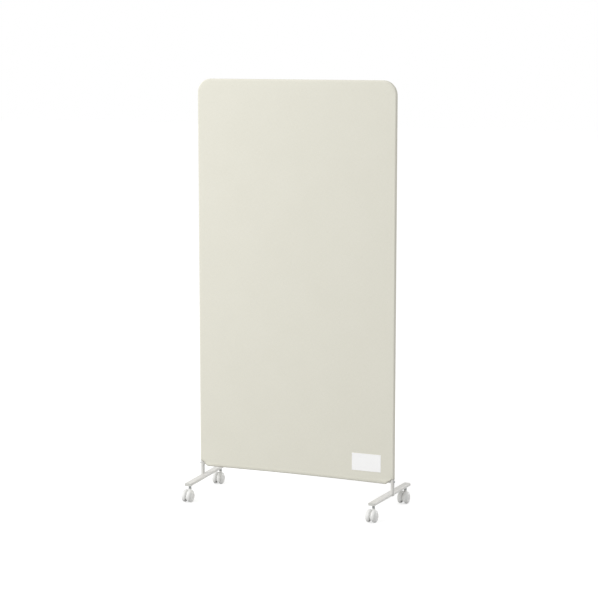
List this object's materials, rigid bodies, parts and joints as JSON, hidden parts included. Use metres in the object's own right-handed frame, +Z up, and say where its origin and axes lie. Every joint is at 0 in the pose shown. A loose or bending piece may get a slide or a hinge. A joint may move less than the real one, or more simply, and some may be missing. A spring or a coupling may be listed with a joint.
{
  "type": "partition screen",
  "caption": "Free-standing cloth-covered partition screen with rounded top corners, on two flat legs with twin-wheel swivel casters.",
  "frame": {"origin": "on the floor under the middle of the screen, midway between the two posts", "axes": "+Z up, -Y towards the face with the sewn label, +X to the right of that face"},
  "size_m": [0.925, 0.4107, 1.8009],
  "materials": {
    "cover_cloth": "cream woven polyester, matte",
    "label_cloth": "plain white woven tag",
    "frame_enamel": "off-white baked enamel, satin",
    "zinc_steel": "bright zinc plate",
    "cap_plastic": "light grey moulded polyethylene",
    "caster_nylon": "light grey moulded nylon",
    "bush_plastic": "natural acetal"
  },
  "bodies": {
    "screen": {"upper_frame_left": "frame_enamel", "lower_post_left": "frame_enamel", "post_spigot_left": "zinc_steel", "top_spigot_left": "zinc_steel", "leg_bar_left": "frame_enamel", "cover_side_left": "cover_cloth", "leg_cap_front_left": "cap_plastic", "leg_cap_rear_left": "cap_plastic", "leg_nuts_left": "zinc_steel", "upper_frame_right": "frame_enamel", "lower_post_right": "frame_enamel", "post_spigot_right": "zinc_steel", "top_spigot_right": "zinc_steel", "leg_bar_right": "frame_enamel", "cover_side_right": "cover_cloth", "leg_cap_front_right": "cap_plastic", "leg_cap_rear_right": "cap_plastic", "leg_nuts_right": "zinc_steel", "top_rail": "frame_enamel", "bottom_rail": "frame_enamel", "rail_plugs": "zinc_steel", "rail_screws": "zinc_steel", "foot_plugs": "cap_plastic", "cover_front": "cover_cloth", "cover_back": "cover_cloth", "cover_top": "cover_cloth", "cover_flap": "cover_cloth", "label_tag": "label_cloth", "stem_front_left": "zinc_steel", "stem_front_right": "zinc_steel", "stem_rear_left": "zinc_steel", "stem_rear_right": "zinc_steel", "stem_clips": "zinc_steel"},
    "caster_front_left": {"hood_front_left": "caster_nylon", "swivel_bush_front_left": "bush_plastic", "axle_front_left": "zinc_steel"},
    "wheel_front_left_left": {"wheel_front_left_left": "caster_nylon"},
    "wheel_front_left_right": {"wheel_front_left_right": "caster_nylon"},
    "caster_front_right": {"hood_front_right": "caster_nylon", "swivel_bush_front_right": "bush_plastic", "axle_front_right": "zinc_steel"},
    "wheel_front_right_left": {"wheel_front_right_left": "caster_nylon"},
    "wheel_front_right_right": {"wheel_front_right_right": "caster_nylon"},
    "caster_rear_left": {"hood_rear_left": "caster_nylon", "swivel_bush_rear_left": "bush_plastic", "axle_rear_left": "zinc_steel"},
    "wheel_rear_left_left": {"wheel_rear_left_left": "caster_nylon"},
    "wheel_rear_left_right": {"wheel_rear_left_right": "caster_nylon"},
    "caster_rear_right": {"hood_rear_right": "caster_nylon", "swivel_bush_rear_right": "bush_plastic", "axle_rear_right": "zinc_steel"},
    "wheel_rear_right_left": {"wheel_rear_right_left": "caster_nylon"},
    "wheel_rear_right_right": {"wheel_rear_right_right": "caster_nylon"}
  },
  "joints": [
    {"name": "swivel_front_left", "type": "hinge", "parent": "screen", "child": "caster_front_left", "pos_m": [-0.42146, -0.16917, 0.05], "axis": [0, 0, 1], "continuous": true},
    {"name": "roll_front_left_left", "type": "hinge", "parent": "caster_front_left", "child": "wheel_front_left_left", "pos_m": [-0.43701, -0.18918, 0.025], "axis": [1, 0, 0], "continuous": true},
    {"name": "roll_front_left_right", "type": "hinge", "parent": "caster_front_left", "child": "wheel_front_left_right", "pos_m": [-0.40592, -0.18918, 0.025], "axis": [1, 0, 0], "continuous": true},
    {"name": "swivel_front_right", "type": "hinge", "parent": "screen", "child": "caster_front_right", "pos_m": [0.42146, -0.16917, 0.05], "axis": [0, 0, 1], "continuous": true},
    {"name": "roll_front_right_left", "type": "hinge", "parent": "caster_front_right", "child": "wheel_front_right_left", "pos_m": [0.40592, -0.18918, 0.025], "axis": [1, 0, 0], "continuous": true},
    {"name": "roll_front_right_right", "type": "hinge", "parent": "caster_front_right", "child": "wheel_front_right_right", "pos_m": [0.43701, -0.18918, 0.025], "axis": [1, 0, 0], "continuous": true},
    {"name": "swivel_rear_left", "type": "hinge", "parent": "screen", "child": "caster_rear_left", "pos_m": [-0.43867, 0.17039, 0.05], "axis": [0, 0, 1], "continuous": true},
    {"name": "roll_rear_left_left", "type": "hinge", "parent": "caster_rear_left", "child": "wheel_rear_left_left", "pos_m": [-0.45422, 0.15039, 0.025], "axis": [1, 0, 0], "continuous": true},
    {"name": "roll_rear_left_right", "type": "hinge", "parent": "caster_rear_left", "child": "wheel_rear_left_right", "pos_m": [-0.42312, 0.15039, 0.025], "axis": [1, 0, 0], "continuous": true},
    {"name": "swivel_rear_right", "type": "hinge", "parent": "screen", "child": "caster_rear_right", "pos_m": [0.43867, 0.17039, 0.05], "axis": [0, 0, 1], "continuous": true},
    {"name": "roll_rear_right_left", "type": "hinge", "parent": "caster_rear_right", "child": "wheel_rear_right_left", "pos_m": [0.42312, 0.15039, 0.025], "axis": [1, 0, 0], "continuous": true},
    {"name": "roll_rear_right_right", "type": "hinge", "parent": "caster_rear_right", "child": "wheel_rear_right_right", "pos_m": [0.45422, 0.15039, 0.025], "axis": [1, 0, 0], "continuous": true}
  ]
}
